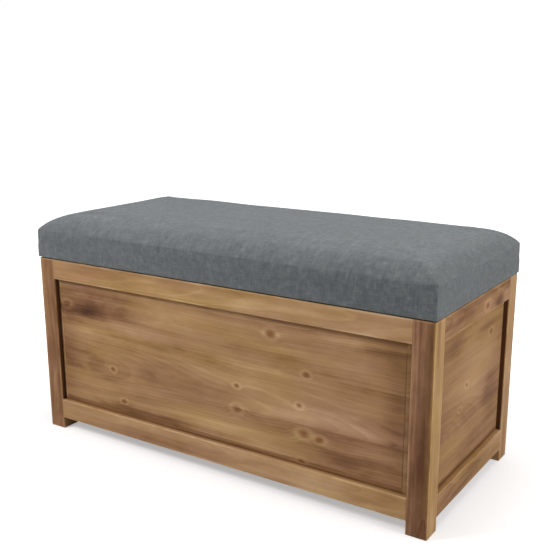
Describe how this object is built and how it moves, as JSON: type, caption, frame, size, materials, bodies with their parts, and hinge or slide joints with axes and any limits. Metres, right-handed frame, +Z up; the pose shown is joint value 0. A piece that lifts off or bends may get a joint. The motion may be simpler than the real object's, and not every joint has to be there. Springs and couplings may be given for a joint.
{
  "type": "storage bench",
  "caption": "Low wooden storage bench: a frame-and-panel box on short square feet, with a hinged upholstered lid that serves as the seat and slotted stays that hold it open.",
  "frame": {"origin": "on the floor, under the middle of the wooden box", "axes": "+X along the bench to the right as seen from the front, +Y to the back where the hinges are, +Z up"},
  "size_m": [0.9536, 0.4326, 0.5016],
  "materials": {
    "stained_pine": "satin stain, rubbed thin on the edges",
    "raw_pine": "bare planed",
    "plywood": "bare plywood",
    "zinc_steel": "zinc plated",
    "brassed_steel": "antique brassed",
    "bright_steel": "bright plated",
    "clear_rubber": "soft, translucent",
    "upholstery_foam": "open foam",
    "grey_linen": "slubby linen weave, blue-grey",
    "black_dust_cloth": "non-woven cloth"
  },
  "bodies": {
    "box": {"right_rear_post": "stained_pine", "left_rear_post": "stained_pine", "right_front_post": "stained_pine", "left_front_post": "stained_pine", "front_top_rail": "stained_pine", "front_bottom_rail": "stained_pine", "front_panel": "stained_pine", "right_top_rail": "stained_pine", "right_bottom_rail": "stained_pine", "right_panel": "stained_pine", "rear_top_rail": "stained_pine", "rear_bottom_rail": "stained_pine", "rear_panel": "stained_pine", "left_top_rail": "stained_pine", "left_bottom_rail": "stained_pine", "left_panel": "stained_pine", "front_cleat": "raw_pine", "right_cleat": "raw_pine", "rear_cleat": "raw_pine", "left_cleat": "raw_pine", "floor_panel": "plywood", "cleat_screws": "zinc_steel", "floor_nails": "zinc_steel", "lid_bumpers": "clear_rubber", "left_hinge_rail_leaf": "brassed_steel", "right_hinge_rail_leaf": "brassed_steel", "left_hinge_pin": "brassed_steel", "right_hinge_pin": "brassed_steel", "hinge_rail_screws": "zinc_steel", "left_stay_stud": "bright_steel", "right_stay_stud": "bright_steel"},
    "lid": {"lid_board": "plywood", "foam_pad": "upholstery_foam", "linen_cover": "grey_linen", "dust_cover": "black_dust_cloth", "cover_staples": "bright_steel", "left_hinge_lid_leaf": "brassed_steel", "right_hinge_lid_leaf": "brassed_steel", "hinge_lid_screws": "zinc_steel", "left_stay_bracket": "bright_steel", "right_stay_bracket": "bright_steel", "stay_bracket_screws": "zinc_steel", "left_stay_rivet": "bright_steel", "right_stay_rivet": "bright_steel"},
    "left_stay": {"left_stay_arm": "bright_steel"},
    "right_stay": {"right_stay_arm": "bright_steel"}
  },
  "joints": [
    {"name": "lid_hinge", "type": "hinge", "parent": "box", "child": "lid", "pos_m": [0, 0.2168, 0.4043], "axis": [-1, 0, 0], "range_deg": [0, 90]},
    {"name": "left_stay_swing", "type": "hinge", "parent": "lid", "child": "left_stay", "pos_m": [-0.4467, 0.06748, 0.39], "axis": [-1, 0, 0], "range_deg": [-45, 0]},
    {"name": "right_stay_swing", "type": "hinge", "parent": "lid", "child": "right_stay", "pos_m": [0.4467, 0.06748, 0.39], "axis": [-1, 0, 0], "range_deg": [-45, 0]}
  ],
  "couplings": [
    {"joint": "left_stay_swing", "follows": "lid_hinge", "ratio": -0.5},
    {"joint": "right_stay_swing", "follows": "lid_hinge", "ratio": -0.5}
  ]
}
